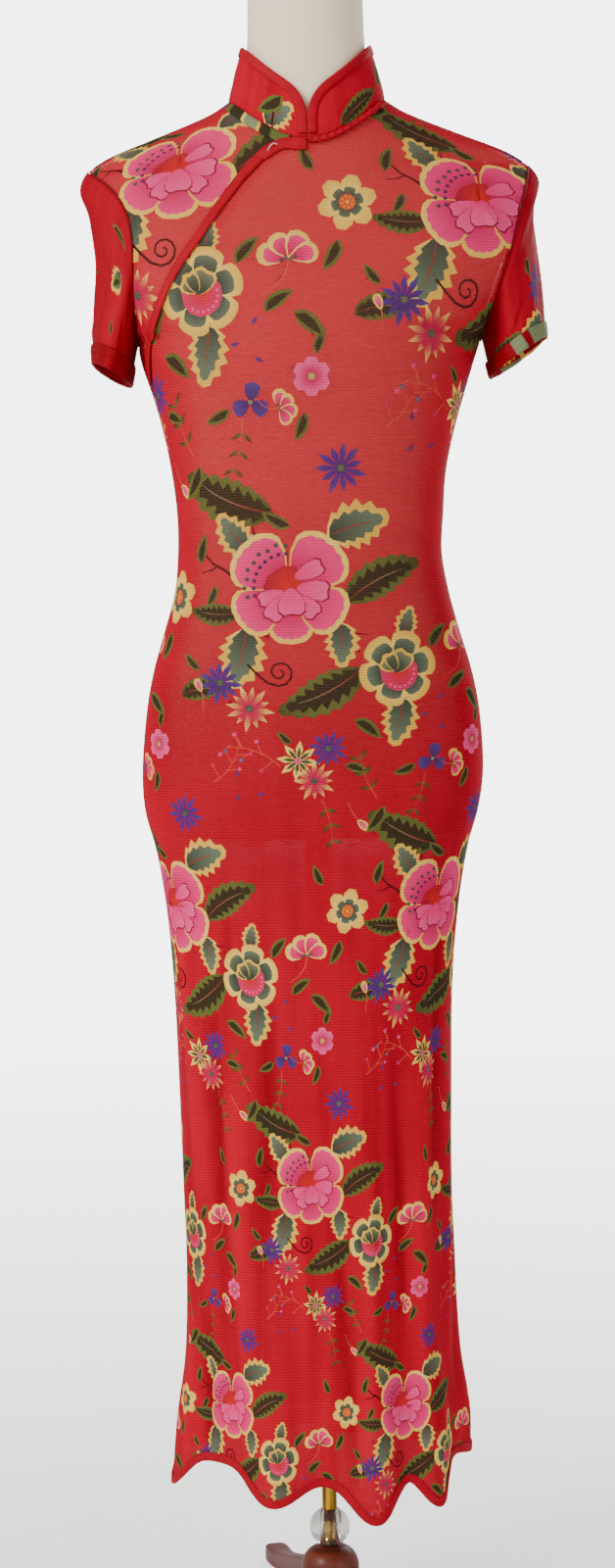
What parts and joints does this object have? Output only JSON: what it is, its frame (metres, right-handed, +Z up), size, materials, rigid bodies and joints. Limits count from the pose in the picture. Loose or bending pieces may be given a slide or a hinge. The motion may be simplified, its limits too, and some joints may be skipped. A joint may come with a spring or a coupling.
{
  "type": "maxi dress on a dress form",
  "caption": "Long close-fitting dress with stand collar, diagonal front opening and short sleeves, on a limbless dress form with a pole and a low wooden base.",
  "frame": {"origin": "on the floor under the pole, at the centre of the footprint", "axes": "+Z up, -Y the front of the dress, +X the wearer's left"},
  "size_m": [0.5124, 0.5124, 1.602],
  "materials": {
    "red_mesh": "fine sheer stretch mesh, printed with flowers",
    "crimson_binding": "opaque folded jersey binding",
    "form_cloth": "plain cream jersey cover",
    "dark_metal": "satin dark",
    "brass": "polished",
    "clear_glass": "clear",
    "red_wood": "stained and varnished"
  },
  "bodies": {
    "root": {"front_main": "red_mesh", "front_yoke": "red_mesh", "back": "red_mesh", "sleeve_right": "red_mesh", "sleeve_left": "red_mesh", "sleeve_hem_right": "red_mesh", "sleeve_hem_left": "red_mesh", "collar": "red_mesh", "yoke_neck_edge": "red_mesh", "collar_binding": "crimson_binding", "placket_binding": "crimson_binding", "neckline_piping": "crimson_binding", "hem_binding": "crimson_binding", "form_body": "form_cloth", "pole_socket": "dark_metal", "pole": "brass", "glass_ball": "clear_glass", "base_hub": "red_wood", "leg_1": "red_wood", "leg_2": "red_wood", "leg_3": "red_wood", "leg_4": "red_wood"}
  },
  "joints": []
}
